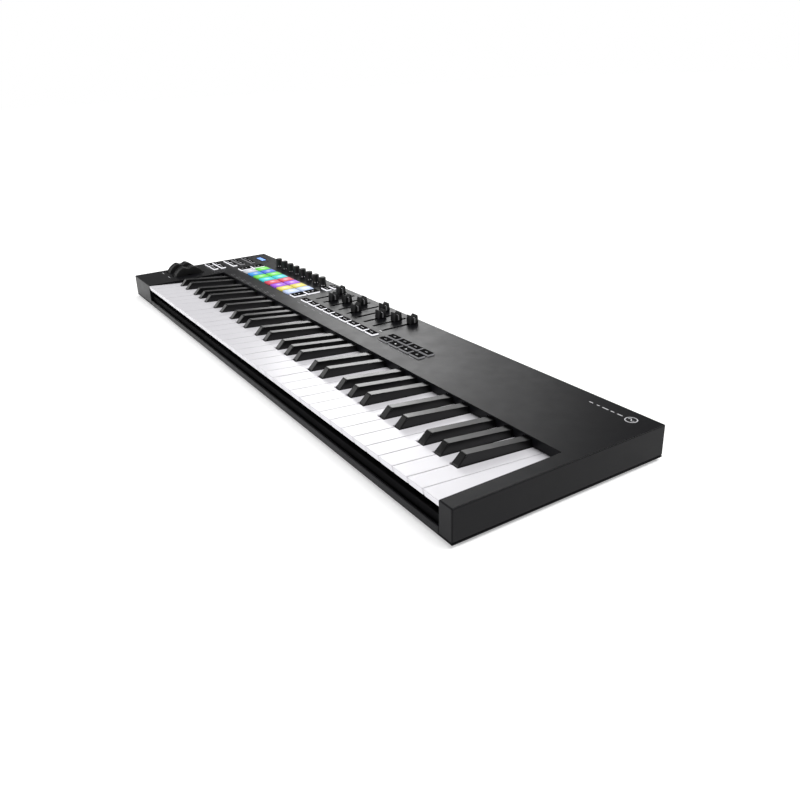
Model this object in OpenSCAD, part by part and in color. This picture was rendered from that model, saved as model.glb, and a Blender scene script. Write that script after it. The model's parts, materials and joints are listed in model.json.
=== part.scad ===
// Keyboard synthesizer with 61 keys, performance pads, knobs and faders.
// Origin: middle of the footprint, on the surface the feet stand on.
// +X runs to the high notes, +Y to the back, +Z up.

/* [Case] */
// Height of the rubber feet under the case
foot_h = 3; // [2:1:6]
// Depth of the case, front to back
case_d = 260; // [256:1:270]
// Height of the case without its feet
case_h = 36; // [35:1:40]
// Width of the strip left of the keys, which holds the wheels
strip_w = 91; // [88:1:100]
// Width of the cheek right of the keys
cheek_w = 18; // [16:1:24]
// Thickness of the side and rear walls
wall = 3; // [2.5:0.5:4]
// Thickness of the panel
panel_t = 2.4; // [2:0.2:3]
// Bevel along the outer edges of the case
edge = 0.8; // [0.4:0.2:1.2]
// Height of the front rail above the case bottom
rail_h = 9.5; // [8:0.5:11]

/* [Keys] */
// Spacing of the white keys
key_pitch = 23.5; // [23.4:0.1:23.6]
// Gap between neighbouring white keys
key_gap = 0.9; // [0.6:0.1:1.2]
// Depth of the opening that the keys lie in
opening_d = 139; // [137:1:141]
// Top of the white keys at the front, below the panel top
key_drop_front = 0.9; // [0.5:0.1:2]
// Top of the white keys at the back of the opening, below the panel top
key_drop_back = 11.3; // [10.5:0.1:11.5]
// Thickness of a white key's front lip
lip_h = 7.5; // [6.5:0.5:8]
// Length of the wide front part of a white key
wide_l = 49.5; // [48:0.5:53]
// Width of a black key at its base
black_w = 10.9; // [10:0.1:11.2]
// Width of a black key at its top
black_top_w = 9.2; // [8.8:0.1:9.6]

/* [Controls] */
// Spacing of pads, knobs and the buttons beside them
col = 24.45; // [24.2:0.05:24.6]
// Side of a square pad
pad_s = 22.4; // [21.5:0.1:22.6]
// Height of pads and buttons above the panel
button_rise = 2; // [1.5:0.1:2.5]
// Travel of a button
button_travel = 1; // [0.6:0.1:1.2]
// Height of a knob above the panel
knob_h = 15; // [13:0.5:18]
// Radius of a knob at its foot
knob_r = 6.1; // [5.5:0.1:6.5]
// Spacing of the faders
fader_col = 24.35; // [24.2:0.05:24.5]
// Travel of a fader
fader_travel = 45; // [45:1:46]
// Height of a fader cap above the panel
fader_cap_h = 12.5; // [12:0.5:14]
// Radius of the two performance wheels
wheel_r = 29.5; // [29:0.1:30]
// Width of a performance wheel
wheel_w = 17; // [16:0.5:17.5]

/* [Hidden] */
PITCHES = ["c", "cs", "d", "ds", "e", "f", "fs", "g", "gs", "a", "as", "b"];

white_count = 36;
key_span = white_count * key_pitch;
case_w = strip_w + key_span + cheek_w;
x_left = -case_w / 2;
x_right = case_w / 2;
y_front = -case_d / 2;
y_back = case_d / 2;
z_base = foot_h;
z_top = foot_h + case_h;
z_under = z_top - panel_t;          // underside of the panel
z_floor = z_base + 2.5;             // top of the lower case's floor
seam = 0.1;                         // gap between the two case halves
x_keys = x_left + strip_w;
x_keys_end = x_keys + key_span;
y_open = y_front + opening_d;
clear = 0.5;                        // gap round a button, each side

// Key action
key_front = y_front + 0.1;
z_key_front = z_top - key_drop_front;
key_slope = (key_drop_back - key_drop_front) / (y_open - key_front);
post_y = [-98, -92];                // front and back of the guide posts
felt_z = 22.6;                      // top of the guide posts
pivot_y = 46;
pivot_z = 21;
tail_y = 60;
tail_bottom = 17.3;
skin = 2.3;                         // top thickness of a hollow key
side = 1.6;                         // side thickness of a hollow key
slot = 1;                           // gap beside a black key
octaves = 5;
WHITE_STEP = [0, 0, 1, 1, 2, 3, 3, 4, 4, 5, 5, 6];
IS_BLACK = [0, 1, 0, 1, 0, 0, 1, 0, 1, 0, 1, 0];
// A black key's middle, from the joint of the two white keys in front of it
BLACK_SHIFT = [0, -3, 0, 2, 0, 0, -3.5, 0, -0.5, 0, 2.5, 0];

// Boards under the panel
board_top = 32.5;
board_t = 1.6;
sheet_t = 0.8;
cap_bottom = board_top + sheet_t + button_travel + 0.2;

// Plate that carries the key action, and the rear board's top
plate_z = z_floor + 0.5;
plate_top = plate_z + 2;
rear_z = plate_top + board_t;

// Places of the controls
pad_x = -358.2;                     // middle of the first pad column
pad_rows = [49.75, 74.5];           // middle of the front and rear pad rows
knob_x = pad_x + 1.2;                // middle of the first knob
knob_y = 108;
fader_x = -124.3;
fader_y = 90.5;                     // middle of the fader travel
fader_button_y = 45.5;
transport_x = 106.5;
transport_col = 24;
transport_rows = [45, 59.5];
function_x = [-456, -428.5];
function_rows = [5.7, 20.7, 43.8, 59.3, 79.8];
side_x = [pad_x - col, pad_x + 8 * col];
device_rows = [101.8, 116.3];
display_at = [-436, 105.5];
display_size = [46, 17];
wheel_x = [-457, -421];
wheel_y = -47;
wheel_z = z_top - 13.5;
axle_r = 3;
dip_r = 18;                         // radius of the dip between a wheel's lobes
dip_depth = 3;
// Where each cap rests along its slot, from the middle of the travel
FADER_REST = [17.5, -9.5, 0.9, 13.7, -11.7, 22.4, 0.8, 11.6, 22.5];
slot_w = 4.8;

// Sizes of the button caps, x by y
FUNCTION_SIZE = [24, 8.6];
SIDE_SIZE = [18.6, 21.6];
DEVICE_SIZE = [20, 9];
FADER_SIZE = [20.4, 10.4];
TRANSPORT_SIZE = [20.5, 10];

FUNCTION_AT = [for (y = function_rows, x = function_x) [x, y]];
SIDE_AT = [for (x = side_x, y = pad_rows) [x, y]];
DEVICE_AT = [for (y = device_rows) [side_x[1], y]];
FADER_BUTTON_AT = [for (i = [0:8]) [fader_x + i * fader_col, fader_button_y]];
TRANSPORT_AT = [for (y = transport_rows, i = [0:3]) [transport_x + i * transport_col, y]];

// Posts that take the case screws
BOSSES = [
    [x_left + 9.5, y_front + 11], [x_keys - 10, y_front + 11], [x_right - 9, y_front + 11],
    [x_left + 9.5, y_back - 9], [x_right - 9, y_back - 9], [-146, 80], [-146, 119],
    [90, 80], [90, 119], [220, 75], [220, 119], [345, 75], [345, 119], [x_left + 9.5, -6]
];
boss_r = 4;
screw_r = 1.45;
head_r = 3;
FEET_X = [x_left + 45, x_left + 300, x_right - 300, x_right - 45];
FEET = [for (x = FEET_X, y = [y_front + 24, y_back - 24]) [x, y]];
foot_r = 9;

function ztop(y) = z_key_front - (y - key_front) * key_slope;

// ---- shared shapes ----

// A box given by its low and high corners
module block(low, high) {
    translate(low) cube(high - low);
}

// A flat bar with cut corners, centred on x and y
module slab(size, cut, z0, z1) {
    a = size[0] / 2;
    b = size[1] / 2;
    outline = [
        [a, cut - b], [a, b - cut], [a - cut, b], [cut - a, b],
        [-a, b - cut], [-a, cut - b], [cut - a, -b], [a - cut, -b]
    ];
    translate([0, 0, z0]) linear_extrude(z1 - z0) polygon(outline);
}

// A side view, points [y, z], carried along x
module along_x(x0, x1, points) {
    translate([x0, 0, 0])
        rotate([90, 0, 90])
            linear_extrude(x1 - x0) polygon(points);
}

// A front view, points [x, z], carried along y
module along_y(y0, y1, points) {
    translate([0, y1, 0])
        rotate([90, 0, 0])
            linear_extrude(y1 - y0) polygon(points);
}

// A box whose twelve edges are bevelled
module bevelled(low, high, e) {
    s = high - low;
    mid = (low + high) / 2;
    intersection() {
        translate([mid[0], mid[1], 0]) slab([s[0], s[1]], e, low[2], high[2]);
        along_x(low[0], high[0], [
            [low[1], low[2] + e], [low[1] + e, low[2]], [high[1] - e, low[2]], [high[1], low[2] + e],
            [high[1], high[2] - e], [high[1] - e, high[2]], [low[1] + e, high[2]], [low[1], high[2] - e]
        ]);
        along_y(low[1], high[1], [
            [low[0], low[2] + e], [low[0] + e, low[2]], [high[0] - e, low[2]], [high[0], low[2] + e],
            [high[0], high[2] - e], [high[0] - e, high[2]], [low[0] + e, high[2]], [low[0], high[2] - e]
        ]);
    }
}

// One slab at each of several places
module slabs(places, size, cut, z0, z1) {
    for (p = places) translate([p[0], p[1], 0]) slab(size, cut, z0, z1);
}

// ---- case ----

// The holes that the controls stand in
module control_holes(z0, z1) {
    grow = [2 * clear, 2 * clear];
    pads = [for (i = [0:7], y = pad_rows) [pad_x + i * col, y]];
    slabs(pads, [pad_s, pad_s] + grow, 1.4, z0, z1);
    slabs(FUNCTION_AT, FUNCTION_SIZE + grow, 0.9, z0, z1);
    slabs(SIDE_AT, SIDE_SIZE + grow, 0.9, z0, z1);
    slabs(DEVICE_AT, DEVICE_SIZE + grow, 0.9, z0, z1);
    slabs(FADER_BUTTON_AT, FADER_SIZE + grow, 0.9, z0, z1);
    slabs(TRANSPORT_AT, TRANSPORT_SIZE + grow, 0.9, z0, z1);
}

module fader_slots(width, length, z0, z1) {
    for (i = [0:8])
        translate([fader_x + i * fader_col, fader_y, 0]) slab([width, length], 0.6, z0, z1);
}

module knob_places() {
    for (i = [0:7]) translate([knob_x + i * col, knob_y, 0]) children();
}

module wheel_slots() {
    for (x = wheel_x)
        translate([x, wheel_y, 0]) slab([wheel_w + 2, 57], 0.5, z_under - 1, z_top + 1);
}

module rear_holes() {
    block([-386, y_back - 20, rear_z - 0.3], [-373, y_back + 1, 23.3]);
    translate([-335, y_back + 1, 17]) rotate([90, 0, 0]) cylinder(r = 6.3, h = 22, $fn = 48);
    translate([-290, y_back + 1, 17]) rotate([90, 0, 0]) cylinder(r = 8.3, h = 22, $fn = 48);
    block([-243, y_back - 20, 14.5], [-235.5, y_back + 1, 18.5]);
}

// The panel's front lip hangs down between the black keys, just above the white ones
module panel_lip() {
    difference() {
        block([x_keys - 1, y_open, ztop(y_open) + 0.8], [x_keys_end + 1, y_open + 1.6, z_under + 0.5]);
        for (o = [0 : octaves - 1], k = [0 : 11]) if (IS_BLACK[k]) {
            x = x_keys + (7 * o + WHITE_STEP[k] + 1) * key_pitch + BLACK_SHIFT[k];
            block([x - black_w / 2 - 0.8, y_open - 1, 0], [x + black_w / 2 + 0.8, y_open + 3, z_under]);
        }
    }
}

module top_case() {
    color("#2e2e31") difference() {
        union() {
            difference() {
                bevelled([x_left, y_front, z_floor + seam], [x_right, y_back, z_top], edge);
                // hollow under the panel behind the keys
                block([x_left + wall, y_open - 2, 0], [x_right - wall, y_back - wall, z_under]);
                // hollow of the left strip
                block([x_left + wall, y_front + wall, 0], [x_keys - 2.5, y_open + 2, z_under]);
                // hollow of the right cheek
                block([x_keys_end + 2.5, y_front + wall, 0], [x_right - wall, y_open + 2, z_under]);
                // the opening of the keys
                block([x_keys, y_front - 1, 0], [x_keys_end, y_open, z_top + 1]);
            }
            panel_lip();
            for (b = BOSSES)
                translate([b[0], b[1], z_floor + seam]) cylinder(r = boss_r, h = z_under - z_floor, $fn = 32);
        }
        control_holes(z_under - 1, z_top + 1);
        fader_slots(slot_w, fader_travel + 10, z_under - 1, z_top + 1);
        knob_places() translate([0, 0, z_under - 1]) cylinder(r = 4.2, h = panel_t + 2, $fn = 32);
        wheel_slots();
        rear_holes();
        translate([display_at[0], display_at[1], 0])
            slab(display_size - [4, 4], 0.5, z_under - 1, z_top + 1);
        translate([display_at[0], display_at[1], 0])
            slab(display_size + [0.4, 0.4], 0.6, z_top - 1.2, z_top + 1);
        for (b = BOSSES) translate([b[0], b[1], 0]) cylinder(r = screw_r + 0.05, h = 22, $fn = 24);
    }
}

module bottom_case() {
    color("#28282a") difference() {
        union() {
            bevelled([x_left, y_front, z_base], [x_right, y_back, z_floor], edge);
            bevelled([x_keys + 0.3, y_front, z_base],
                [x_keys_end - 0.3, y_front + wall, z_base + rail_h], edge);
            // ribs that stiffen the floor
            for (x = [-380, -190, 0, 190, 380])
                block([x - 1, y_open + 62, z_floor - 0.5], [x + 1, y_back - 14, z_floor + 2]);
        }
        for (b = BOSSES) translate([b[0], b[1], 0]) {
            cylinder(r = screw_r + 0.35, h = 10, $fn = 24);
            translate([0, 0, z_base - 1]) cylinder(r = head_r + 0.4, h = 2.2, $fn = 32);
        }
        for (f = FEET) translate([f[0], f[1], z_base - 1]) cylinder(r = foot_r + 0.3, h = 1.5, $fn = 48);
    }
}

module rubber_feet() {
    color("#1b1b1c")
        for (f = FEET) translate([f[0], f[1], 0])
            cylinder(r1 = foot_r - 0.8, r2 = foot_r, h = z_base + 0.5, $fn = 48);
}

module case_screws() {
    color("#8c8c8e")
        for (b = BOSSES) translate([b[0], b[1], z_base + 0.1]) difference() {
            union() {
                cylinder(r = head_r, h = 1, $fn = 32);
                cylinder(r = screw_r, h = 16, $fn = 24);
            }
            translate([0, 0, -0.5]) cylinder(r = 1.3, h = 1.1, $fn = 6);
        }
}

// ---- key action ----

module key_chassis() {
    color("#3a3a3c") difference() {
        union() {
            block([x_keys + 1.5, y_front + 5, plate_z], [x_keys_end - 1.5, tail_y + 4, plate_top]);
            // front wall
            block([x_keys + 1.5, y_front + 5, plate_z], [x_keys_end - 1.5, y_front + 7, plate_top + 11.6]);
            // knife-edge rail that the keys rock on
            along_x(x_keys + 1.5, x_keys_end - 1.5, [
                [pivot_y - 6, plate_top - 0.5], [pivot_y + 6, plate_top - 0.5], [pivot_y, pivot_z - 0.15]
            ]);
            // a guide post inside each white key
            for (i = [0:white_count - 1])
                block([white_mid(i) - 4, post_y[0], plate_top - 0.5], [white_mid(i) + 4, post_y[1], felt_z]);
            // feet that stand on the floor
            for (x = [x_keys + 20 : 100 : x_keys_end - 20])
                block([x, -60, z_floor], [x + 8, -40, plate_z + 0.5]);
        }
        // slots that lighten the plate
        for (i = [0:8])
            block([x_keys + 25 + i * 94, -86, plate_z - 1], [x_keys + 75 + i * 94, -66, plate_top + 1]);
    }
}

module key_contact_board() {
    color("#1f5a35")
        block([x_keys + 4, -34, plate_top], [x_keys_end - 4, 4, plate_top + board_t]);
}

// The x of each key's middle, where its plunger and spring stand
function white_mid(i) = x_keys + (i + 0.5) * key_pitch;

module contact_domes() {
    z0 = plate_top + board_t;
    color("#bdbdb8") difference() {
        block([x_keys + 6, -24, z0], [x_keys_end - 6, -12, z0 + 3.4]);
        block([x_keys + 7, -21, z0 - 1], [x_keys_end - 7, -15, z0 + 2]);
    }
}

module key_felts() {
    color("#7d2626") {
        for (i = [0:white_count - 1])
            block([white_mid(i) - 4, post_y[0], felt_z], [white_mid(i) + 4, post_y[1], felt_z + 1.6]);
        block([x_keys + 4, -60, plate_top], [x_keys_end - 4, -48, plate_top + 2]);
    }
}

// Plan outline of a white key behind its wide front part, from its left joint
function narrow_left(k) =
    k == 0 || !IS_BLACK[k - 1] ? key_gap / 2 : BLACK_SHIFT[k - 1] + black_w / 2 + slot;
function narrow_right(k, last) =
    last || k == 11 || !IS_BLACK[k + 1] ? key_pitch - key_gap / 2
    : key_pitch + BLACK_SHIFT[k + 1] - black_w / 2 - slot;

y_wide = key_front + wide_l;

// The long side view of a white key
WHITE_SIDE = [
    [key_front, ztop(key_front)], [key_front + 1.6, ztop(key_front) - lip_h],
    [y_open + 2, ztop(y_open + 2) - lip_h], [28, tail_bottom], [tail_y, tail_bottom],
    [tail_y, ztop(tail_y)]
];

// The hollow under a key's skin, from y0 to y1
module hollow(x0, x1, y0, y1, top) {
    along_x(x0, x1, [[y0, 5], [y1, 5], [y1, top(y1)], [y0, top(y0)]]);
}

module pivot_notch(x0, x1) {
    along_x(x0, x1, [[pivot_y - 4.4, pivot_z - 5.2], [pivot_y + 4.4, pivot_z - 5.2], [pivot_y, pivot_z]]);
}

// A plunger that pushes the contact strip
module plunger(x, y) {
    block([x - 2.5, y - 2.5, 17.2], [x + 2.5, y + 2.5, ztop(y) - 1]);
}

module white_key(k, last) {
    a = narrow_left(k);
    b = narrow_right(k, last);
    under = function (y) ztop(y) - skin;
    difference() {
        union() {
            difference() {
                along_x(key_gap / 2, key_pitch - key_gap / 2, WHITE_SIDE);
                // behind the wide part only the strip between a and b stays
                block([-1, y_wide, 0], [a, 200, 60]);
                block([b, y_wide, 0], [key_pitch + 1, 200, 60]);
                hollow(key_gap / 2 + side, key_pitch - key_gap / 2 - side,
                    key_front + 3.6, y_wide - side, under);
                hollow(a + side, b - side, y_wide - 2 * side, y_open, under);
            }
            plunger((a + b) / 2, -18);
        }
        pivot_notch(-1, key_pitch + 1);
    }
}

black_front = y_front + 51;
black_top_front = y_front + 60.8;
z_black_front = z_top + 5.1;
z_black_back = z_top - 3.4;
black_slope = (z_black_front - z_black_back) / (y_open - black_top_front);
function zblack(y) = z_black_front - (y - black_top_front) * black_slope;

BLACK_SIDE = [
    [black_front - 0.1, ztop(black_front) - lip_h], [black_front - 0.1, ztop(black_front) - 0.8],
    [black_front, ztop(black_front)], [black_top_front, z_black_front], [y_open + 4, zblack(y_open + 4)],
    [y_open + 8, ztop(y_open + 8)], [tail_y, ztop(tail_y)], [tail_y, tail_bottom], [28, tail_bottom],
    [y_open + 2, ztop(y_open + 2) - lip_h]
];

module black_key() {
    w = black_w / 2;
    t = black_top_w / 2;
    under = function (y) ztop(y) - skin;
    difference() {
        union() {
            difference() {
                intersection() {
                    along_x(-w, w, BLACK_SIDE);
                    along_y(-90, 80, [[-w, 0], [w, 0], [w, 30],
                        [t, z_black_front], [-t, z_black_front], [-w, 30]]);
                }
                hollow(side - w, w - side, black_front + 2, y_open, under);
            }
            plunger(0, -18);
        }
        pivot_notch(-w - 1, w + 1);
    }
}

// Every key of one pitch class
module pitch_keys(k) {
    color(IS_BLACK[k] ? "#202022" : "#f0eff2")
        for (o = [0:k == 0 ? octaves : octaves - 1]) {
            joint = x_keys + (7 * o + WHITE_STEP[k]) * key_pitch;
            if (IS_BLACK[k]) translate([joint + key_pitch + BLACK_SHIFT[k], 0, 0]) black_key();
            else translate([joint, 0, 0]) white_key(k, o == octaves);
        }
}

// The x of the middle of each key's tail
TAILS = [
    for (o = [0:octaves], k = [0:o == octaves ? 0 : 11])
        x_keys + (7 * o + WHITE_STEP[k]) * key_pitch
            + (IS_BLACK[k] ? key_pitch + BLACK_SHIFT[k] :
                (narrow_left(k) + narrow_right(k, o == octaves)) / 2)
];

module key_springs() {
    color("#9a9a9d")
        for (x = TAILS) translate([x, 57, plate_top]) difference() {
            cylinder(r = 1.8, h = tail_bottom - plate_top - 0.3, $fn = 20);
            translate([0, 0, 1]) cylinder(r = 1.1, h = 20, $fn = 20);
        }
}

// ---- electronics under the panel ----

module control_board() {
    z0 = board_top - board_t;
    color("#1f5a35") difference() {
        union() {
            block([x_left + 8, 0, z0], [x_left + 66, y_back - 12, board_top]);
            block([x_left + 60, y_open + 12, z0],
                [transport_x + 3 * transport_col + 16, y_back - 5, board_top]);
        }
        fader_slots(slot_w, fader_travel + 10, z0 - 1, board_top + 1);
        knob_places() translate([0, 0, z0 - 1]) cylinder(r = 4, h = 4, $fn = 32);
        for (b = BOSSES) translate([b[0], b[1], z0 - 1]) cylinder(r = boss_r + 0.6, h = 4, $fn = 32);
    }
}

module button_sheet() {
    groups = [
        [FUNCTION_AT, FUNCTION_SIZE], [SIDE_AT, SIDE_SIZE], [DEVICE_AT, DEVICE_SIZE],
        [FADER_BUTTON_AT, FADER_SIZE], [TRANSPORT_AT, TRANSPORT_SIZE]
    ];
    color("#c9c9c4") for (g = groups)
        slabs(g[0], g[1] - [1, 1], 0.5, board_top, board_top + sheet_t);
}

module pad_sensor_sheet() {
    color("#55565a")
        block([pad_x - col / 2 + 0.5, pad_rows[0] - 12, board_top],
              [pad_x + 7.5 * col - 0.5, pad_rows[1] + 12, board_top + sheet_t]);
}

module display_module() {
    color("#2b5fd0") translate([display_at[0], display_at[1], 0])
        slab(display_size - [1, 1], 0.4, board_top, z_under - 0.4);
}

module display_window() {
    color("#101317") translate([display_at[0], display_at[1], 0])
        slab(display_size, 0.5, z_top - 1.2, z_top);
}

module slide_pots() {
    color("#5b5b5e") for (i = [0:8])
        translate([fader_x + i * fader_col, fader_y, 0]) difference() {
            slab([8, fader_travel + 12], 0.4, board_top - board_t - 7.4, board_top - board_t);
            slab([2.2, fader_travel + 8], 0.3, board_top - board_t - 6.2, board_top);
        }
}

module rotary_pots() {
    z0 = board_top - board_t - 7;
    color("#6a6a6d") knob_places() difference() {
        union() {
            translate([0, 0, z0]) slab([10, 11], 0.5, 0, 6.8);
            translate([0, 0, z0 + 6.5]) cylinder(r = 3.6, h = 4.4, $fn = 32);
        }
        translate([0, 0, z0 + 1.5]) cylinder(r = 2.05, h = 20, $fn = 32);
    }
}

// ---- rear connectors ----

module rear_board() {
    color("#1f5a35")
        block([-395, y_back - 34, plate_top], [-268, y_back - 6.6, plate_top + board_t]);
}

module usb_socket() {
    color("#b9bbbe") difference() {
        block([-385.5, y_back - 17, rear_z], [-373.5, y_back - 0.2, 23]);
        difference() {
            block([-384.3, y_back - 9, rear_z + 2.6], [-374.7, y_back + 1, 21.8]);
            block([-382.2, y_back - 10, 13.8], [-376.8, y_back - 1, 16.8]);
        }
    }
}

module pedal_jack() {
    color("#232325") difference() {
        union() {
            block([-342, y_back - 18, rear_z], [-328, y_back - 3.5, 23.4]);
            translate([-335, y_back - 0.2, 17]) rotate([90, 0, 0]) cylinder(r = 6, h = 6, $fn = 48);
        }
        translate([-335, y_back + 1, 17]) rotate([90, 0, 0]) cylinder(r = 3.25, h = 15.2, $fn = 32);
    }
}

module midi_socket() {
    color("#232325") difference() {
        union() {
            block([-299, y_back - 15, rear_z], [-281, y_back - 3.5, 25.5]);
            translate([-290, y_back - 0.2, 17]) rotate([90, 0, 0]) cylinder(r = 8, h = 6, $fn = 48);
        }
        translate([-290, y_back + 1, 17]) rotate([90, 0, 0]) cylinder(r = 6.8, h = 3, $fn = 48);
        for (a = [-90 : 45 : 90])
            translate([-290 + 4.9 * sin(a), y_back + 1, 17 + 4.9 * cos(a)])
                rotate([90, 0, 0]) cylinder(r = 0.75, h = 10, $fn = 16);
    }
}

// ---- wheels ----

module wheel_bracket() {
    color("#3a3a3c") difference() {
        union() {
            block([x_left + 7, wheel_y - 20, plate_z], [x_keys - 18, wheel_y + 20, plate_top]);
            for (x = [wheel_x[0] - 11.5, wheel_x[0] + 10, wheel_x[1] - 11.5, wheel_x[1] + 9.5])
                along_x(x, x + 2, [
                    [wheel_y - 10, plate_top - 0.5], [wheel_y + 10, plate_top - 0.5],
                    [wheel_y + 5.5, wheel_z + 5], [wheel_y - 5.5, wheel_z + 5]
                ]);
            for (x = [x_left + 10, x_keys - 26])
                block([x, wheel_y - 8, z_floor], [x + 5, wheel_y + 8, plate_z + 0.5]);
        }
        translate([x_left, wheel_y, wheel_z]) rotate([0, 90, 0])
            cylinder(r = axle_r + 0.02, h = 90, $fn = 32);
    }
}

module wheel_axle() {
    color("#a4a6a9") translate([wheel_x[0] - 12.5, wheel_y, wheel_z])
        rotate([0, 90, 0]) cylinder(r = axle_r, h = wheel_x[1] - wheel_x[0] + 25, $fn = 32);
}

module pitch_spring() {
    color("#9a9a9d") translate([wheel_x[0] + wheel_w / 2 + 0.3, wheel_y, wheel_z])
        rotate([0, 90, 0]) difference() {
            cylinder(r = 4.6, h = 1, $fn = 32);
            translate([0, 0, -1]) cylinder(r = 3.6, h = 3, $fn = 32);
        }
}

// A wheel is a sector with a hub and a dip between two lobes
module wheel(x) {
    w = wheel_w / 2;
    color("#1c1c1e") difference() {
        intersection() {
            translate([x - w, wheel_y, wheel_z]) rotate([0, 90, 0])
                cylinder(r = wheel_r, h = wheel_w, $fn = 96);
            along_x(x - w, x + w, [
                [wheel_y - 7, wheel_z - 7], [wheel_y + 7, wheel_z - 7], [wheel_y + 33, wheel_z - 4],
                [wheel_y + 33, wheel_z + 32], [wheel_y - 33, wheel_z + 32], [wheel_y - 33, wheel_z - 4]
            ]);
        }
        // the dip that a finger rests in
        translate([x - w - 1, wheel_y, wheel_z + wheel_r + dip_r - dip_depth])
            rotate([0, 90, 0]) cylinder(r = dip_r, h = wheel_w + 2, $fn = 64);
        translate([x - w - 1, wheel_y, wheel_z]) rotate([0, 90, 0])
            cylinder(r = axle_r + 0.06, h = wheel_w + 2, $fn = 32);
    }
}

module pitch_wheel() {
    wheel(wheel_x[0]);
}

module mod_wheel() {
    wheel(wheel_x[1]);
}

// ---- pads, buttons, knobs and faders ----

module pad_row(y) {
    color("#8fd3f0")
        for (i = [0:7]) translate([pad_x + i * col, y, 0])
            slab([pad_s, pad_s], 1.2, cap_bottom, z_top + button_rise);
}

module pads_front() {
    pad_row(pad_rows[0]);
}

module pads_rear() {
    pad_row(pad_rows[1]);
}

module button_group(places, size) {
    color("#1d1d1f") slabs(places, size, 0.6, cap_bottom, z_top + button_rise);
}

module function_buttons() {
    button_group(FUNCTION_AT, FUNCTION_SIZE);
}

module side_buttons() {
    button_group(SIDE_AT, SIDE_SIZE);
    button_group(DEVICE_AT, DEVICE_SIZE);
}

module fader_buttons() {
    button_group(FADER_BUTTON_AT, FADER_SIZE);
}

module transport_buttons() {
    button_group(TRANSPORT_AT, TRANSPORT_SIZE);
}

// A tall knob with a shaft that turns in its potentiometer
module knob(i) {
    color("#161618") translate([knob_x + (i - 1) * col, knob_y, 0]) {
        translate([0, 0, z_top + 0.8]) cylinder(r = knob_r, h = 2.2, $fn = 48);
        translate([0, 0, z_top + 2.9])
            cylinder(r1 = knob_r - 0.2, r2 = knob_r - 0.5, h = knob_h - 2.9, $fn = 48);
        translate([0, 0, board_top - board_t - 5])
            cylinder(r = 2, h = z_top + 2 - board_top + board_t + 5, $fn = 32);
    }
}

// A saddle-shaped cap on a thin lever that reaches into the slide potentiometer
module fader(i) {
    z0 = z_top + 0.6;
    z1 = z_top + fader_cap_h;
    saddle = [
        [-6.2, z0], [6.2, z0], [5.3, z1], [3.3, z1], [2.1, z1 - 3.6],
        [-2.1, z1 - 3.6], [-3.3, z1], [-5.3, z1]
    ];
    color("#1a1a1c")
        translate([fader_x + (i - 1) * fader_col, fader_y + FADER_REST[i - 1], 0]) {
            along_x(-6, 6, saddle);
            block([-0.7, -2.5, board_top - board_t - 5], [0.7, 2.5, z0 + 1]);
        }
}

top_case();
bottom_case();
key_chassis();
key_contact_board();
contact_domes();
key_felts();
key_springs();
control_board();
button_sheet();
pad_sensor_sheet();
display_module();
display_window();
slide_pots();
rotary_pots();
wheel_bracket();
wheel_axle();
pitch_spring();
rear_board();
usb_socket();
pedal_jack();
midi_socket();
rubber_feet();
case_screws();
pitch_keys(0);  // keys_c
pitch_keys(1);  // keys_cs
pitch_keys(2);  // keys_d
pitch_keys(3);  // keys_ds
pitch_keys(4);  // keys_e
pitch_keys(5);  // keys_f
pitch_keys(6);  // keys_fs
pitch_keys(7);  // keys_g
pitch_keys(8);  // keys_gs
pitch_keys(9);  // keys_a
pitch_keys(10);  // keys_as
pitch_keys(11);  // keys_b
pitch_wheel();
mod_wheel();
pads_rear();
pads_front();
function_buttons();
side_buttons();
fader_buttons();
transport_buttons();
knob(1);  // knob_1
knob(2);  // knob_2
knob(3);  // knob_3
knob(4);  // knob_4
knob(5);  // knob_5
knob(6);  // knob_6
knob(7);  // knob_7
knob(8);  // knob_8
fader(1);  // fader_1
fader(2);  // fader_2
fader(3);  // fader_3
fader(4);  // fader_4
fader(5);  // fader_5
fader(6);  // fader_6
fader(7);  // fader_7
fader(8);  // fader_8
fader(9);  // fader_9
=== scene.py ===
"""Looks of a keyboard synthesizer with 61 keys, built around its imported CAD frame."""
import json
import math

import bpy
from mathutils import Euler, Matrix, Vector


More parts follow.
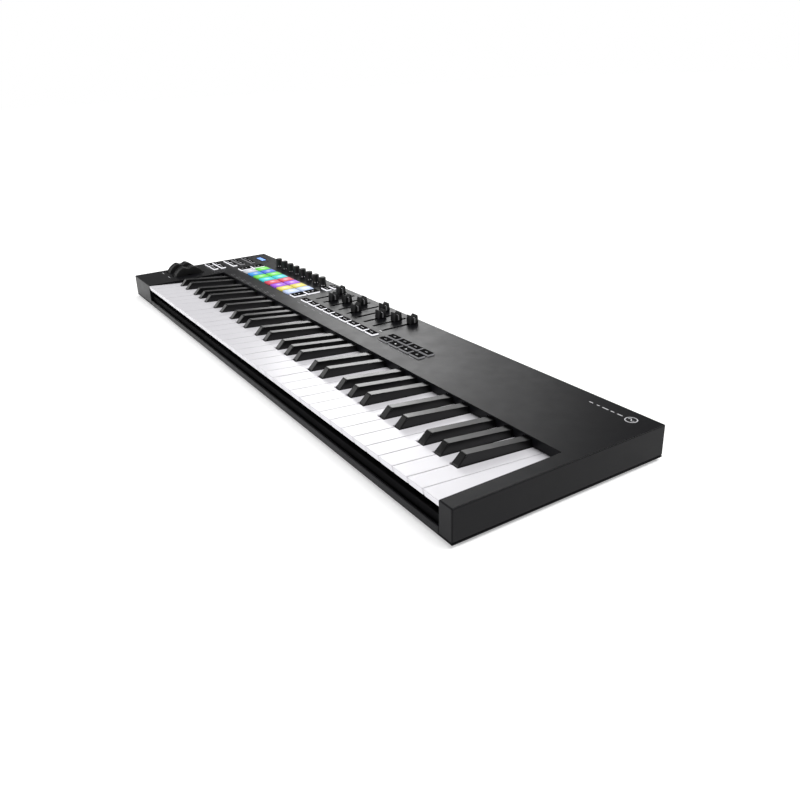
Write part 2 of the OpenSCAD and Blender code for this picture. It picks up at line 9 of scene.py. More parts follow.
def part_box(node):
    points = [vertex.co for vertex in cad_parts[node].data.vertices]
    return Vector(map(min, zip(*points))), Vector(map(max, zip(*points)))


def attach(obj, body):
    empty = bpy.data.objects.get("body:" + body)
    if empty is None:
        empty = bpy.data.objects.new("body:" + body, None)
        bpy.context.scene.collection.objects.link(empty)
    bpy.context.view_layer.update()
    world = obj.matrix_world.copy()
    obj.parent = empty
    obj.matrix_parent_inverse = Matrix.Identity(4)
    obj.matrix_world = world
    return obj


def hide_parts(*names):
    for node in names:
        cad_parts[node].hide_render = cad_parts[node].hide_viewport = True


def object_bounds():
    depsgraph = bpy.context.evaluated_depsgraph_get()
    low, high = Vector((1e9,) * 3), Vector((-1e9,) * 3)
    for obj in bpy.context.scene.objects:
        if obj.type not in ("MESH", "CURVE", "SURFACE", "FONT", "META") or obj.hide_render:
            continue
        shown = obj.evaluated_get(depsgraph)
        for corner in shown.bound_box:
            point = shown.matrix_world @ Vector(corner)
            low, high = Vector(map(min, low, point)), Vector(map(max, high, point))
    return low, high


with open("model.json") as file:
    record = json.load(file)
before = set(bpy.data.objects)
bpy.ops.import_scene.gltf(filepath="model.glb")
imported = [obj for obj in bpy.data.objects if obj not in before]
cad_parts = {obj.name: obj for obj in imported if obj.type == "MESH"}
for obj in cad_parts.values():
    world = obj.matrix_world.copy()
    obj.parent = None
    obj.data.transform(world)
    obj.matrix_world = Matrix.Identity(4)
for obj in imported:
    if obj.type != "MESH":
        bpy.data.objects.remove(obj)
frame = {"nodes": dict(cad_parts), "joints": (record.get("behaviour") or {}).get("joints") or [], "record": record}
cad_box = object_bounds()

MM = 0.001
SCENE = bpy.context.scene
NODES = frame["nodes"]
SLOT_OF = {part["node"]: part["material_slot"] for part in frame["record"]["subparts"]}
PANEL_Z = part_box("top_case")[1].z


# ---- materials ----

class Nodes:
    """A material's node tree, with short calls for the nodes that the finishes use."""

    def __init__(self, name):
        self.material = bpy.data.materials.new(name)
        self.material.use_nodes = True
        self.tree = self.material.node_tree
        self.shader = self.tree.nodes["Principled BSDF"]
        self.place = self.add("ShaderNodeTexCoord").outputs["Object"]

    def add(self, kind, **values):
        node = self.tree.nodes.new(kind)
        for name, value in values.items():
            setattr(node, name, value)
        return node

    def link(self, output, socket):
        self.tree.links.new(output, socket)

    def stretched(self, scale):
        """Coordinates stretched by a scale along each axis."""
        mapping = self.add("ShaderNodeMapping")
        mapping.inputs["Scale"].default_value = scale
        self.link(self.place, mapping.inputs["Vector"])
        return mapping.outputs["Vector"]

    def noise(self, scale, detail=3.0, place=None):
        node = self.add("ShaderNodeTexNoise")
        node.inputs["Scale"].default_value = scale
        node.inputs["Detail"].default_value = detail
        self.link(place or self.place, node.inputs["Vector"])
        return node.outputs["Fac"]

    def between(self, factor, low, high, low_at=0.3, high_at=0.7):
        """A number that goes from low to high as the factor does."""
        node = self.add("ShaderNodeMapRange")
        node.inputs["From Min"].default_value = low_at
        node.inputs["From Max"].default_value = high_at
        node.inputs["To Min"].default_value = low
        node.inputs["To Max"].default_value = high
        self.link(factor, node.inputs["Value"])
        return node.outputs["Result"]

    def tones(self, factor, stops):
        """A colour ramp, given as (position, colour) stops."""
        ramp = self.add("ShaderNodeValToRGB").color_ramp
        while len(ramp.elements) < len(stops):
            ramp.elements.new(0.5)
        for element, (position, color) in zip(ramp.elements, stops):
            element.position = position
            element.color = (*color, 1)
        node = self.tree.nodes[-1]
        self.link(factor, node.inputs["Fac"])
        return node.outputs["Color"]

    def bump(self, height, depth):
        node = self.add("ShaderNodeBump")
        node.inputs["Distance"].default_value = depth
        self.link(height, node.inputs["Height"])
        self.link(node.outputs["Normal"], self.shader.inputs["Normal"])


def shade(color, factor):
    """A colour made lighter or darker."""
    return tuple(min(1.0, c * factor) for c in color)


def moulded(name, color, roughness, grain=2600, depth=0.03 * MM, vary=0.12, specular=0.5):
    """Moulded plastic or rubber with a fine grain, faint tone changes and uneven gloss."""
    n = Nodes(name)
    broad = n.noise(14, 4)
    color_out = n.tones(broad, [(0.3, shade(color, 1 - vary)), (0.7, shade(color, 1 + vary))])
    n.link(color_out, n.shader.inputs["Base Color"])
    n.link(n.between(n.noise(60, 5), roughness * 0.93, roughness * 1.07), n.shader.inputs["Roughness"])
    n.shader.inputs["Specular IOR Level"].default_value = specular
    n.bump(n.noise(grain, 2), depth)
    return n.material


def brushed(name, color, roughness, along):
    """Drawn or brushed metal, with lines along one axis."""
    n = Nodes(name)
    scale = [1800, 1800, 1800]
    scale[along] = 30
    lines = n.noise(1, 4, n.stretched(scale))
    n.link(n.tones(lines, [(0.3, shade(color, 0.8)), (0.7, shade(color, 1.15))]),
           n.shader.inputs["Base Color"])
    n.link(n.between(lines, roughness * 0.8, roughness * 1.25), n.shader.inputs["Roughness"])
    n.shader.inputs["Metallic"].default_value = 1
    n.bump(lines, 0.01 * MM)
    return n.material


def circuit_board(name):
    """Green solder mask over faint copper tracks."""
    n = Nodes(name)
    cells = n.add("ShaderNodeTexVoronoi", distance="MANHATTAN", feature="DISTANCE_TO_EDGE")
    cells.inputs["Scale"].default_value = 160
    n.link(n.place, cells.inputs["Vector"])
    tracks = cells.outputs["Distance"]
    stops = [(0.03, (0.03, 0.16, 0.07)), (0.08, (0.012, 0.085, 0.035))]
    n.link(n.tones(tracks, stops), n.shader.inputs["Base Color"])
    n.link(n.between(n.noise(200), 0.25, 0.4), n.shader.inputs["Roughness"])
    n.bump(tracks, 0.03 * MM)
    return n.material


def felt(name, color):
    """Felt with short fibres."""
    n = Nodes(name)
    fibres = n.noise(3000, 6)
    n.link(n.tones(fibres, [(0.3, shade(color, 0.6)), (0.7, shade(color, 1.3))]),
           n.shader.inputs["Base Color"])
    n.shader.inputs["Roughness"].default_value = 0.95
    n.shader.inputs["Sheen Weight"].default_value = 0.5
    n.bump(fibres, 0.2 * MM)
    return n.material


def glowing_pad(name, edge_color, core_color, half, strength):
    """Milky silicone over a lamp: brightest in the middle, dimmer to the rim."""
    n = Nodes(name)
    distance = n.add("ShaderNodeVectorMath", operation="LENGTH")
    n.link(n.stretched((1 / half, 1 / half, 0)), distance.inputs[0])
    spot = n.between(distance.outputs["Value"], 0, 1, 0.1, 1.25)
    n.link(n.tones(spot, [(0.0, core_color), (0.38, edge_color), (1.0, shade(edge_color, 0.7))]),
           n.shader.inputs["Emission Color"])
    n.link(n.between(spot, strength, strength * 0.7, 0.1, 1), n.shader.inputs["Emission Strength"])
    cloud = n.noise(500, 3)
    n.link(n.tones(cloud, [(0.3, shade(edge_color, 0.28)), (0.7, shade(edge_color, 0.34))]),
           n.shader.inputs["Base Color"])
    n.link(n.between(cloud, 0.4, 0.5), n.shader.inputs["Roughness"])
    n.bump(n.noise(3500, 2), 0.02 * MM)
    return n.material


def lit(name, color, glow, strength, grain=900):
    """Something lit from behind, such as a display or a light edge, a little uneven."""
    n = Nodes(name)
    cloud = n.noise(grain, 3)
    n.link(n.tones(cloud, [(0.3, shade(color, 0.9)), (0.7, color)]), n.shader.inputs["Base Color"])
    n.link(n.tones(cloud, [(0.3, shade(glow, 0.85)), (0.7, glow)]), n.shader.inputs["Emission Color"])
    n.shader.inputs["Emission Strength"].default_value = strength
    n.shader.inputs["Roughness"].default_value = 0.4
    return n.material


FINISHES = {
    "case_black": moulded("case_black", (0.0035, 0.0035, 0.0045), 0.38, grain=3200, depth=0.008 * MM,
                          specular=0.12),
    "inner_plastic": moulded("inner_plastic", (0.004, 0.004, 0.0045), 0.8, specular=0.05),
    "board_green": circuit_board("board_green"),
    "silicone": moulded("silicone", (0.6, 0.6, 0.57), 0.55),
    "felt": felt("felt", (0.3, 0.05, 0.05)),
    "spring_steel": brushed("spring_steel", (0.55, 0.55, 0.57), 0.3, 0),
    "sensor_film": moulded("sensor_film", (0.1, 0.1, 0.11), 0.35, grain=900),
    "display_blue": lit("display_blue", (0.02, 0.08, 0.4), (0.05, 0.2, 0.9), 0.5),
    "window_black": moulded("window_black", (0.008, 0.008, 0.010), 0.12, grain=400, depth=0.002 * MM),
    "pot_metal": brushed("pot_metal", (0.35, 0.35, 0.37), 0.4, 1),
    "socket_metal": brushed("socket_metal", (0.6, 0.6, 0.62), 0.3, 1),
    "socket_black": moulded("socket_black", (0.015, 0.015, 0.016), 0.45),
    "foot_rubber": moulded("foot_rubber", (0.02, 0.02, 0.02), 0.8, grain=1500, depth=0.06 * MM),
    "screw_steel": brushed("screw_steel", (0.18, 0.18, 0.19), 0.35, 0),
    "key_white": moulded("key_white", (0.66, 0.65, 0.68), 0.32, grain=1200, depth=0.002 * MM, vary=0.012),
    "key_black": moulded("key_black", (0.003, 0.003, 0.0033), 0.30, grain=900, depth=0.0006 * MM,
                         specular=0.42),
    "wheel_rubber": moulded("wheel_rubber", (0.003, 0.003, 0.0033), 0.5, grain=2200, depth=0.02 * MM,
                            specular=0.3),
    "pad_glow": moulded("pad_glow", (0.4, 0.6, 0.7), 0.5),
    "button_black": moulded("button_black", (0.003, 0.003, 0.0033), 0.9, grain=3000, specular=0.03),
    "knob_black": moulded("knob_black", (0.004, 0.004, 0.0045), 0.5, grain=3000, depth=0.01 * MM,
                          specular=0.3),
}
LIGHT_SIDE = lit("button_side_white", (0.75, 0.75, 0.78), (0.9, 0.9, 0.95), 0.8)
DIM_SIDE = lit("button_side_grey", (0.25, 0.25, 0.26), (0.4, 0.4, 0.42), 0.3)
WHITE_PRINT = moulded("white_print", (0.62, 0.62, 0.64), 0.6, vary=0.06)
GREY_PRINT = moulded("grey_print", (0.22, 0.22, 0.23), 0.6, vary=0.06)
LINE_GREY = moulded("line_grey", (0.15, 0.15, 0.155), 0.5, vary=0.08)


# ---- meshes ----

def piece(name, verts, faces, materials, body, indices=None, origin=(0, 0, 0), smooth=40):
    """A mesh object that rides on a body, with faces sharper than the smooth angle left crisp."""
    mesh = bpy.data.meshes.new(name)
    mesh.from_pydata([Vector(v) for v in verts], [], faces)
    for material in materials:
        mesh.materials.append(material)
    if indices:
        mesh.polygons.foreach_set("material_index", indices)
    mesh.validate()
    mesh.polygons.foreach_set("use_smooth", [True] * len(mesh.polygons))
    mesh.set_sharp_from_angle(angle=math.radians(smooth))
    obj = bpy.data.objects.new(name, mesh)
    obj.location = origin
    SCENE.collection.objects.link(obj)
    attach(obj, body)
    return obj


def solids(node):
    """The boxes of a node's separate solids, front row first and left to right."""
    mesh = NODES[node].data
    parent = {}

    def root(key):
        while parent[key] != key:
            parent[key] = parent[parent[key]]
            key = parent[key]
        return key

    keys = [tuple(round(c, 6) for c in v.co) for v in mesh.vertices]
    for key in keys:
        parent.setdefault(key, key)
    for polygon in mesh.polygons:
        first = root(keys[polygon.vertices[0]])
        for v in polygon.vertices:
            parent[root(keys[v])] = first
    groups = {}
    for key in parent:
        groups.setdefault(root(key), []).append(key)
    boxes = []
    for points in groups.values():
        low = Vector([min(p[i] for p in points) for i in range(3)])
        high = Vector([max(p[i] for p in points) for i in range(3)])
        boxes.append((low, high))
    return sorted(boxes, key=lambda b: (round(b[0].y, 4), b[0].x))


def rounded_outline(half_x, half_y, corner, steps=5):
    """Points round a rectangle with arc corners, anticlockwise."""
    points = []
    for quarter in range(4):
        side_x = 1 if quarter in (0, 3) else -1
        side_y = 1 if quarter in (0, 1) else -1
        for i in range(steps + 1):
            a = math.pi / 2 * (quarter + i / steps)
            x = side_x * (half_x - corner) + corner * math.cos(a)
            y = side_y * (half_y - corner) + corner * math.sin(a)
            points.append((x, y))
    return points


def loft(rings, base=0):
    """Vertices and faces that join rings of equally many points and close both ends, numbered from base."""
    count = len(rings[0])
    verts = [p for ring in rings for p in ring]
    faces = [tuple(base + i for i in reversed(range(count)))]
    for r in range(len(rings) - 1):
        for i in range(count):
            j = (i + 1) % count
            faces.append((base + r * count + i, base + r * count + j,
                          base + (r + 1) * count + j, base + (r + 1) * count + i))
    faces.append(tuple(base + (len(rings) - 1) * count + i for i in range(count)))
    return verts, faces


def cap_rings(low, high, corner, edge, crown):
    """Rings of a rounded cap in its box, whose top rises by crown from its rim to its middle."""
    middle = (low + high) / 2
    half = (high - low) / 2
    rim = high.z - crown
    levels = [(0, low.z), (0, rim - edge)]
    for i in range(1, 5):
        a = math.pi / 2 * i / 4
        levels.append((edge * (1 - math.cos(a)), rim - edge + edge * math.sin(a)))
    reach = min(half.x, half.y) - edge
    for share in (0.25, 0.55, 0.85):
        levels.append((edge + reach * share, rim + crown * (1 - (1 - share) ** 2)))
    rings = []
    for inset, z in levels:
        outline = rounded_outline(half.x - inset, half.y - inset, max(corner - inset, 0.15 * MM))
        rings.append([(middle.x + x, middle.y + y, z) for x, y in outline])
    return rings


def add_caps(name, node, body, side_of, corner=0.9 * MM, edge=0.25 * MM):
    """Button caps in the places of a CAD node: black tops on light sides, chosen by side_of(box)."""
    verts, faces, indices = [], [], []
    for low, high in solids(node):
        rings = cap_rings(low, high, corner, edge, -0.12 * MM)
        new_verts, new_faces = loft(rings, len(verts))
        count = len(rings[0])
        verts += new_verts
        faces += new_faces
        indices += [0] + [side_of(low, high)] * count + [0] * (len(new_faces) - count - 1)
    black = FINISHES[SLOT_OF[node]]
    obj = piece(name, verts, faces, [black, LIGHT_SIDE, DIM_SIDE], body, indices)
    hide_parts(node)
    return obj


# ---- flat marks ----

def bar(x, y, width, height):
    return [(x - width / 2, y - height / 2), (x + width / 2, y - height / 2),
            (x + width / 2, y + height / 2), (x - width / 2, y + height / 2)]


def regular(x, y, radius, count, turn=0.0):
    """A regular polygon; three points make an arrow head, many make a dot."""
    angles = [turn + 2 * math.pi * i / count for i in range(count)]
    return [(x + radius * math.cos(a), y + radius * math.sin(a)) for a in angles]


def stroke(points, width):
    """Quads along a line of points."""
    quads = []
    for (x0, y0), (x1, y1) in zip(points, points[1:]):
        length = math.hypot(x1 - x0, y1 - y0)
        nx, ny = (y0 - y1) / length * width / 2, (x1 - x0) / length * width / 2
        quads.append([(x0 - nx, y0 - ny), (x1 - nx, y1 - ny), (x1 + nx, y1 + ny), (x0 + nx, y0 + ny)])
    return quads


def print_marks(name, shapes, z, material, body):
    """Flat printed shapes, given in millimetres, a hair above a surface."""
    verts, faces = [], []
    for shape in shapes:
        faces.append(tuple(range(len(verts), len(verts) + len(shape))))
        verts += [(x * MM, y * MM, z + 0.03 * MM) for x, y in shape]
    obj = piece(name, verts, faces, [material], body)
    return obj


def words(x, y, width, height=1.1, seed=0):
    """Short bars that stand for a label, centred on x and y."""
    lengths = [1 + (seed * 7 + i * 5) % 4 for i in range(3)]
    total = sum(lengths) + 0.8 * (len(lengths) - 1)
    shapes = []
    at = x - width / 2
    for length in lengths:
        piece_w = width * length / total
        shapes.append(bar(at + piece_w / 2, y, piece_w, height))
        at += piece_w + width * 0.8 / total
    return shapes


# ---- carried-over CAD nodes ----

BEVELS = {"case_black": 0.5, "key_white": 0.9, "key_black": 1.2,
          "foot_rubber": 0.4, "window_black": 0.2, "socket_black": 0.2, "socket_metal": 0.15}


def soften(obj, width):
    """Rounds a CAD node's sharp edges by a modifier, so that they catch the light."""
    weld = obj.modifiers.new("join_faces", "WELD")
    weld.merge_threshold = 0.002 * MM
    bevel = obj.modifiers.new("soft_edges", "BEVEL")
    bevel.width = width
    bevel.segments = 3
    bevel.limit_method = "ANGLE"
    bevel.angle_limit = math.radians(28)
    bevel.use_clamp_overlap = False
    bevel.harden_normals = True


def finish_nodes():
    """Gives every CAD node its finish and, by slot, its softened edges."""
    for name, obj in NODES.items():
        slot = SLOT_OF[name]
        obj.data.materials.clear()
        obj.data.materials.append(FINISHES[slot])
        if slot in BEVELS:
            soften(obj, BEVELS[slot] * MM)


# ---- pads ----

GREEN, BLUE, CYAN = (0.16, 0.82, 0.07), (0.05, 0.17, 0.85), (0.03, 0.72, 0.80)
AZURE = (0.04, 0.35, 0.90)
RED, PURPLE, YELLOW = (0.82, 0.05, 0.11), (0.40, 0.07, 0.85), (0.85, 0.72, 0.08)
COOL, PALE = (0.58, 0.70, 1.0), (0.62, 0.64, 0.70)
PAD_COLORS = {
    "pads_rear": [GREEN, BLUE, GREEN, CYAN, RED, PURPLE, YELLOW, COOL],
    "pads_front": [PALE, AZURE, GREEN, CYAN, RED, PURPLE, YELLOW, COOL],
}


def add_pads(node):
    """A row of glowing pads in the places of a CAD node."""
    for i, ((low, high), color) in enumerate(zip(solids(node), PAD_COLORS[node])):
        middle = (low + high) / 2
        rings = cap_rings(low - middle, high - middle, 1.6 * MM, 0.5 * MM, 0.25 * MM)
        verts, faces = loft(rings)
        core = tuple(c + (1 - c) * 0.75 for c in color)
        material = glowing_pad(f"{node}_glow_{i + 1}", color, core, (high.x - low.x) / 2, 0.8)
        obj = piece(f"{node}_{i + 1}", verts, faces, [material], node, origin=middle)
        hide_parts(node)


# ---- knobs ----

def add_knob(number):
    """A fluted knob with a slight skirt, a pointer line at the back and two light dots on the skirt."""
    node = f"knob_{number}"
    low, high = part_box(node)
    middle = (low + high) / 2
    foot = PANEL_Z + 0.8 * MM
    radius = (high.x - low.x) / 2
    profile = [(radius - 0.4 * MM, foot), (radius, foot + 0.4 * MM), (radius, foot + 1.4 * MM),
               (radius - 0.35 * MM, foot + 2.2 * MM), (radius * 0.93, foot + 3.2 * MM),
               (radius * 0.92, foot + 8 * MM), (radius * 0.90, high.z - 1.2 * MM),
               (radius * 0.87, high.z - 0.45 * MM), (radius * 0.79, high.z),
               (radius * 0.5, high.z - 0.15 * MM), (radius * 0.2, high.z - 0.25 * MM)]
    sides = 96
    rings = []
    for i, (r, z) in enumerate(profile):
        fluted = 4 <= i <= 6
        ring = []
        for s in range(sides):
            a = 2 * math.pi * s / sides
            dent = 0.16 * MM * (1 - abs(math.cos(12 * a))) if fluted else 0
            ring.append((middle.x + (r - dent) * math.cos(a), middle.y + (r - dent) * math.sin(a), z))
        rings.append(ring)
    verts, faces = loft(rings)
    obj = piece(f"{node}_cap", verts, faces, [FINISHES["knob_black"]], node)
    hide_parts(node)
    # the pointer starts on top and runs down the back
    half = 0.45 * MM
    path = profile[2:10]
    line, quads = [], []
    for r, z in path:
        out = middle.y + r + 0.04 * MM
        line += [(middle.x + half, out, z + 0.02 * MM), (middle.x - half, out, z + 0.02 * MM)]
    for i in range(len(path) - 1):
        quads.append((2 * i, 2 * i + 1, 2 * i + 3, 2 * i + 2))
    for degrees in (-8, -44):
        a = math.radians(degrees)
        out, along = Vector((math.cos(a), math.sin(a), 0)), Vector((-math.sin(a), math.cos(a), 0))
        spot = Vector((middle.x, middle.y, foot + 1.0 * MM)) + out * (radius + 0.03 * MM)
        first = len(line)
        line += [spot + along * x * MM + Vector((0, 0, z * MM)) for x, z in regular(0, 0, 0.85, 12)]
        quads.append(tuple(range(first, first + 12)))
    pointer = piece(f"{node}_pointer", line, quads, [WHITE_PRINT], node)


# ---- wheels ----

WHEEL_JOINTS = {"pitch_wheel": "pitch_bend", "mod_wheel": "modulation"}


def add_wheel(node):
    """A rubber wheel with two rounded lobes, raised rims and fine ribs across its tread."""
    joint = next(j for j in frame["joints"] if j["name"] == WHEEL_JOINTS[node])
    centre = Vector(joint["pos_m"])
    low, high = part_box(node)
    half = (high.x - low.x) / 2
    radius = high.y - centre.y
    inner = radius * 0.5
    # the tread reaches this many degrees each way, with a dip of this half-width and depth in its middle
    reach, dip_reach, dip = 80, 20, 4.3 * MM
    rings = []
    for degrees in range(-reach, reach + 1):
        a = math.radians(degrees)
        r = radius - 0.1 * MM
        if abs(degrees) < dip_reach:
            r -= dip * 0.5 * (1 + math.cos(math.pi * degrees / dip_reach))
        tread = r - 0.9 * MM + (0.18 * MM if degrees % 3 == 0 else 0)
        section = [(-half, inner), (-half, r - 1.0 * MM), (-half + 0.35 * MM, r - 0.3 * MM),
                   (-half + 0.9 * MM, r), (-half + 1.9 * MM, r), (-half + 2.5 * MM, tread)]
        section += [(-x, z) for x, z in reversed(section)]
        rings.append([centre + Vector((x, z * math.sin(a), z * math.cos(a))) for x, z in section])
    verts, faces = loft(rings)
    obj = piece(f"{node}_tread", verts, faces, [FINISHES["wheel_rubber"]], node, smooth=50)
    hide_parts(node)


# ---- faders ----

def saddle_outline(half, bottom, top, dip):
    """The side view of a fader cap as (y, z) points: two humps with a hollow between them."""
    outline = [(half, bottom), (half - 0.2 * MM, bottom + 4 * MM), (half - 0.9 * MM, top - 1.0 * MM)]
    outline += [(half - 1.3 * MM, top - 0.25 * MM), (half - 2.0 * MM, top),
                (half - 2.7 * MM, top - 0.35 * MM)]
    for i in range(-4, 5):
        share = i / 5
        outline.append((-share * (half - 2.9 * MM), top - dip + dip * 0.85 * share * share))
    front = [(-y, z) for y, z in reversed(outline[:6])]
    return outline + front


def add_fader(number):
    """A saddle-shaped cap on its stem, with a light line over its middle."""
    node = f"fader_{number}"
    low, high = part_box(node)
    x = (low.x + high.x) / 2
    y = (low.y + high.y) / 2
    half_y = (high.y - low.y) / 2
    half_x = (high.x - low.x) / 2
    bottom = PANEL_Z + 0.4 * MM
    hollow = 3.4 * MM
    outline = saddle_outline(half_y, bottom, high.z, hollow)
    centre_z = (bottom + high.z) / 2
    rings = []
    for share, shrink in ((-1, 0.93), (-0.97, 0.975), (-0.9, 1), (0.9, 1), (0.97, 0.975), (1, 0.93)):
        rings.append([(x + half_x * share, y + py * shrink, centre_z + (pz - centre_z) * shrink)
                      for py, pz in outline])
    verts, faces = loft(rings)
    stem, stem_length = 0.7 * MM, 2.5 * MM
    stem_rings = []
    for z in (low.z, bottom + 0.5 * MM):
        stem_rings.append([(x - stem, y - stem_length, z), (x + stem, y - stem_length, z),
                           (x + stem, y + stem_length, z), (x - stem, y + stem_length, z)])
    stem_verts, stem_faces = loft(stem_rings, len(verts))
    obj = piece(f"{node}_cap", verts + stem_verts, faces + stem_faces, [FINISHES["knob_black"]], node)
    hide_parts(node)
    # the line crosses the hollow and comes down both sides
    line_half = 1.15 * MM
    top = high.z - hollow + 0.05 * MM
    out = half_x + 0.04 * MM
    path = [(-out, bottom + 1.5 * MM), (-out, top - 0.4 * MM), (-out + 0.5 * MM, top),
            (out - 0.5 * MM, top), (out, top - 0.4 * MM), (out, bottom + 1.5 * MM)]
    line = []
    for px, pz in path:
        line += [(x + px, y - line_half, pz), (x + px, y + line_half, pz)]
    quads = [(2 * i, 2 * i + 1, 2 * i + 3, 2 * i + 2) for i in range(len(path) - 1)]
    mark = piece(f"{node}_line", line, quads, [LINE_GREY, WHITE_PRINT], node, indices=[0, 0, 1, 0, 0])


def add_dust_strips():
    """Black lips in each fader slot, with a slit that the fader's lever runs in."""
    travel = 55 * MM
    verts, faces = [], []
    for number in range(1, 10):
        low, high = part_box(f"fader_{number}")
        joint = next(j for j in frame["joints"] if j["name"] == f"fader_{number}_slide")
        x = (low.x + high.x) / 2
        y = (low.y + high.y) / 2 + sum(joint["range_m"]) / 2
        for side in (-1, 1):
            near, far = x + side * 0.95 * MM, x + side * 2.35 * MM
            a, b = min(near, far), max(near, far)
            rings = []
            for z, inset in ((PANEL_Z - 1.7 * MM, 0), (PANEL_Z - 1.1 * MM, 0.1 * MM)):
                rings.append([(a + inset, y - travel / 2, z), (b - inset, y - travel / 2, z),
                              (b - inset, y + travel / 2, z), (a + inset, y + travel / 2, z)])
            new_verts, new_faces = loft(rings, len(verts))
            verts += new_verts
            faces += new_faces
    rubber = moulded("dust_strip", (0.002, 0.002, 0.002), 0.9, specular=0.02)
    obj = piece("slot_dust_strips", verts, faces, [rubber], "case")


# ---- display ----

def add_display():
    """A lit field with two rows of generic characters, on the display's window."""
    low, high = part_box("display_window")
    middle = (low + high) / 2 / MM
    width, height = 27, 8.5
    glass = lit("lcd_blue", (0.02, 0.1, 0.5), (0.05, 0.22, 0.95), 0.9)
    bright = lit("lcd_text", (0.3, 0.5, 0.9), (0.45, 0.68, 1.0), 0.9)
    field = [bar(middle.x, middle.y, width, height)]
    print_marks("lcd_field", field, high.z, glass, "case")
    shapes = []
    for row in range(2):
        y = middle.y + (0.5 - row) * height * 0.5
        for i in range(4):
            x = middle.x - width / 2 + width * (i + 0.5) / 4
            shapes += words(x, y, width / 4 * 0.8, height * 0.26, seed=row * 4 + i)
    print_marks("lcd_characters", shapes, high.z + 0.03 * MM, bright, "case")


# ---- printed marks ----

def centres(node):
    """Middles of a node's solids in millimetres, front row first."""
    return [((a.x + b.x) / 2 / MM, (a.y + b.y) / 2 / MM, (b.x - a.x) / MM, (b.y - a.y) / MM)
            for a, b in solids(node)]


def add_button_marks():
    """Generic ticks and signs on the button tops."""
    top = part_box("side_buttons")[1].z
    side, function = [], []
    for i, (x, y, w, h) in enumerate(centres("side_buttons")):
        if h < 12:
            side += words(x, y, w * 0.5, 1.2, seed=i)
        else:
            side.append(regular(x, y + 2, 2.2, 3, math.pi / 2 * (i % 4)))
            side += words(x, y - 5, w * 0.45, 1.0, seed=i)
    for i, (x, y, w, _) in enumerate(centres("function_buttons")):
        function += words(x, y, w * 0.5, 1.3, seed=i)
    print_marks("side_button_marks", side, top, WHITE_PRINT, "side_buttons")
    print_marks("function_button_marks", function, top, WHITE_PRINT, "function_buttons")
    fader_marks = []
    for i, (x, y, w, _) in enumerate(centres("fader_buttons")):
        fader_marks += words(x, y, w * 0.35, 1.2, seed=i)
    print_marks("fader_button_marks", fader_marks, top, WHITE_PRINT, "fader_buttons")
    bright, dim = [], []
    for i, (x, y, *_) in enumerate(centres("transport_buttons")):
        if i == 2:
            bright.append(regular(x, y, 2.4, 3))
        elif i == 1:
            bright.append(bar(x, y, 2.6, 2.6))
        elif i == 3:
            dim.append(regular(x, y, 1.8, 20))
        else:
            dim.append(regular(x - 1.2, y, 1.7, 3, math.pi))
            dim.append(regular(x + 1.6, y, 1.7, 3, math.pi))
    print_marks("transport_signs_bright", bright, top, WHITE_PRINT, "transport_buttons")
    print_marks("transport_signs", dim, top, GREY_PRINT, "transport_buttons")


def add_panel_print():
    """Labels on the panel as plain bars, and a plain ring with a wave in the maker's place."""
    bright, dim = [], []
    for i, (x, y, *_) in enumerate(centres("pads_front")):
        dim += words(x, y - 35.7, 12, 1.1, seed=i)
        dim += words(x, y - 31.5, 8, 0.9, seed=i + 3)
    for i, (x, y, *_) in enumerate(centres("fader_buttons")[:4]):
        dim += words(x, y - 13.5, 9, 1.1, seed=i)
    for i, (x, y, *_) in enumerate(centres("transport_buttons")[:4]):
        dim += words(x, y - 8.5, 10, 1.0, seed=i)
    for i, node in enumerate(("pitch_wheel", "mod_wheel")):
        low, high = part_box(node)
        bright += words((low.x + high.x) / 2 / MM, low.y / MM - 6.5, 10, 1.2, seed=i)
    last_low, last_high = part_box("fader_9")
    bright.append(bar((last_low.x + last_high.x) / 2 / MM, last_low.y / MM - 46.5, 5, 1.6))
    print_marks("panel_labels", bright, PANEL_Z, WHITE_PRINT, "case")
    print_marks("panel_labels_dim", dim, PANEL_Z, GREY_PRINT, "case")
    right, back = cad_box[1][0] / MM, cad_box[1][1] / MM
    x, y = right - 26, back - 18.5
    ring = [(x + 6 * math.cos(a * math.pi / 24), y + 6 * math.sin(a * math.pi / 24)) for a in range(49)]
    wave = [(x - 3.6 + 7.2 * t / 20, y + 1.9 * math.sin(2 * math.pi * t / 20)) for t in range(21)]
    mark = stroke(ring, 1.0) + stroke(wave, 0.9)
    for i, width in enumerate((9, 6, 11, 5, 7)):
        mark.append(bar(x - 14 - i * 9.4, y, width * 0.72, 1.2))
    print_marks("maker_place_marks", mark, PANEL_Z, WHITE_PRINT, "case")


# ---- light, floor and camera ----

def area_light(name, at, target, size, power):
    """A white soft light at a place, turned towards a target."""
    light = bpy.data.lights.new(name, "AREA")
    light.shape = "RECTANGLE"
    light.size, light.size_y = size
    light.energy = power
    obj = bpy.data.objects.new(name, light)
    obj.location = at
    obj.rotation_euler = (Vector(target) - Vector(at)).to_track_quat("-Z", "Y").to_euler()
    SCENE.collection.objects.link(obj)


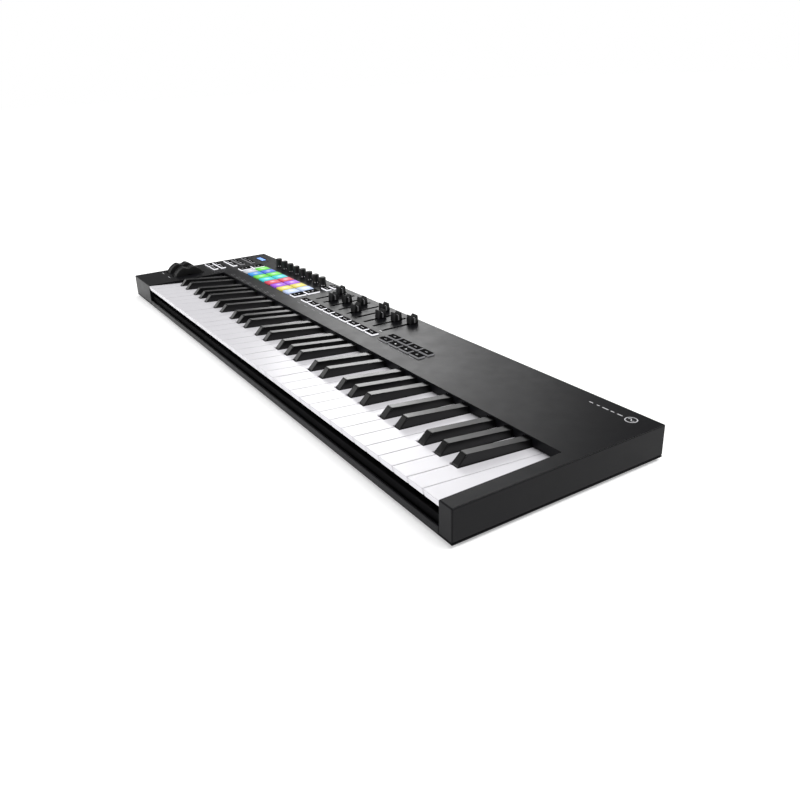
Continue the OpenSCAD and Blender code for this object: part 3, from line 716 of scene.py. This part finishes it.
def add_stage():
    """A plain white floor, soft lights and a white surround."""
    floor_mesh = bpy.data.meshes.new("floor")
    floor_mesh.from_pydata([(-15, -15, 0), (15, -15, 0), (15, 15, 0), (-15, 15, 0)], [], [(0, 1, 2, 3)])
    n = Nodes("floor_white")
    n.link(n.tones(n.noise(3), [(0.3, (0.86, 0.86, 0.86)), (0.7, (0.88, 0.88, 0.88))]),
           n.shader.inputs["Base Color"])
    n.shader.inputs["Roughness"].default_value = 0.9
    n.shader.inputs["Specular IOR Level"].default_value = 0.1
    n.shader.inputs["Emission Color"].default_value = (1, 1, 1, 1)
    n.shader.inputs["Emission Strength"].default_value = 0.35
    floor_mesh.materials.append(n.material)
    floor = bpy.data.objects.new("floor", floor_mesh)
    SCENE.collection.objects.link(floor)

    sky = bpy.data.lights.new("soft_overhead", "SUN")
    sky.energy = 2.0
    sky.angle = math.radians(50)
    overhead = bpy.data.objects.new("soft_overhead", sky)
    overhead.rotation_euler = Euler((math.radians(-12), math.radians(14), 0))
    SCENE.collection.objects.link(overhead)
    # the big window behind the low notes, whose sheen lies over the middle of the panel
    area_light("back_window", (-2.08, 1.36, 0.92), (0, 0.09, 0.04), (0.75, 0.55), 7.5)
    # a card at the low end that the black keys' front slopes mirror, and a fill for the white keys' fronts
    area_light("slope_card", (-1.8, -0.75, 0.85), (0, -0.07, 0.04), (0.8, 0.8), 4)
    area_light("front_fill", (-0.2, -2.0, 0.7), (0, -0.12, 0.03), (2.2, 0.6), 24)
    # a dim card that the tops of the high keys mirror
    area_light("top_card", (-1.46, 1.28, 1.14), (0.35, -0.05, 0.045), (1.0, 0.6), 6)
    # a soft light over the back right
    area_light("back_right_light", (1.15, 1.55, 1.6), (0.4, 0, 0.05), (0.6, 0.6), 12)

    world = bpy.data.worlds.new("white_room")
    world.use_nodes = True
    tree = world.node_tree
    background = tree.nodes["Background"]
    background.inputs["Color"].default_value = (1, 1, 1, 1)
    background.inputs["Strength"].default_value = 0.22
    seen = tree.nodes.new("ShaderNodeBackground")
    seen.inputs["Color"].default_value = (1, 1, 1, 1)
    seen.inputs["Strength"].default_value = 1.0
    mix = tree.nodes.new("ShaderNodeMixShader")
    path = tree.nodes.new("ShaderNodeLightPath")
    tree.links.new(path.outputs["Is Camera Ray"], mix.inputs["Fac"])
    tree.links.new(background.outputs["Background"], mix.inputs[1])
    tree.links.new(seen.outputs["Background"], mix.inputs[2])
    tree.links.new(mix.outputs["Shader"], tree.nodes["World Output"].inputs["Surface"])
    SCENE.world = world
    SCENE.view_settings.view_transform = "Standard"


def add_camera():
    """A camera at the front right corner, a little above the keys, level but for a slight roll."""
    camera = bpy.data.cameras.new("camera")
    camera.sensor_width = 36
    camera.lens = 33.306
    camera.shift_x = 0.04783
    camera.shift_y = -0.05132
    camera.clip_start = 0.01
    obj = bpy.data.objects.new("camera", camera)
    turn = Matrix.Rotation(math.radians(59.978), 4, "Z") @ Matrix.Rotation(math.radians(68.777), 4, "X")
    roll = Matrix.Rotation(math.radians(-2.768), 4, "Z")
    obj.matrix_world = Matrix.Translation((0.88685, -0.44364, 0.37152)) @ turn @ roll
    SCENE.collection.objects.link(obj)
    SCENE.camera = obj


add_camera()
finish_nodes()
for pad_row in PAD_COLORS:
    add_pads(pad_row)
FRONT_BUTTONS_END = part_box("pads_front")[0].y + 8 * MM
add_caps("function_caps", "function_buttons", "function_buttons",
         lambda low, high: 1 if low.y < FRONT_BUTTONS_END else 2)
add_caps("side_caps", "side_buttons", "side_buttons", lambda low, high: 1)
add_caps("fader_button_caps", "fader_buttons", "fader_buttons", lambda low, high: 1)
add_caps("transport_caps", "transport_buttons", "transport_buttons", lambda low, high: 2)
for index in range(1, 9):
    add_knob(index)
for index in range(1, 10):
    add_fader(index)
for wheel in WHEEL_JOINTS:
    add_wheel(wheel)
add_dust_strips()
add_display()
add_button_marks()
add_panel_print()
add_stage()

bpy.context.view_layer.update()
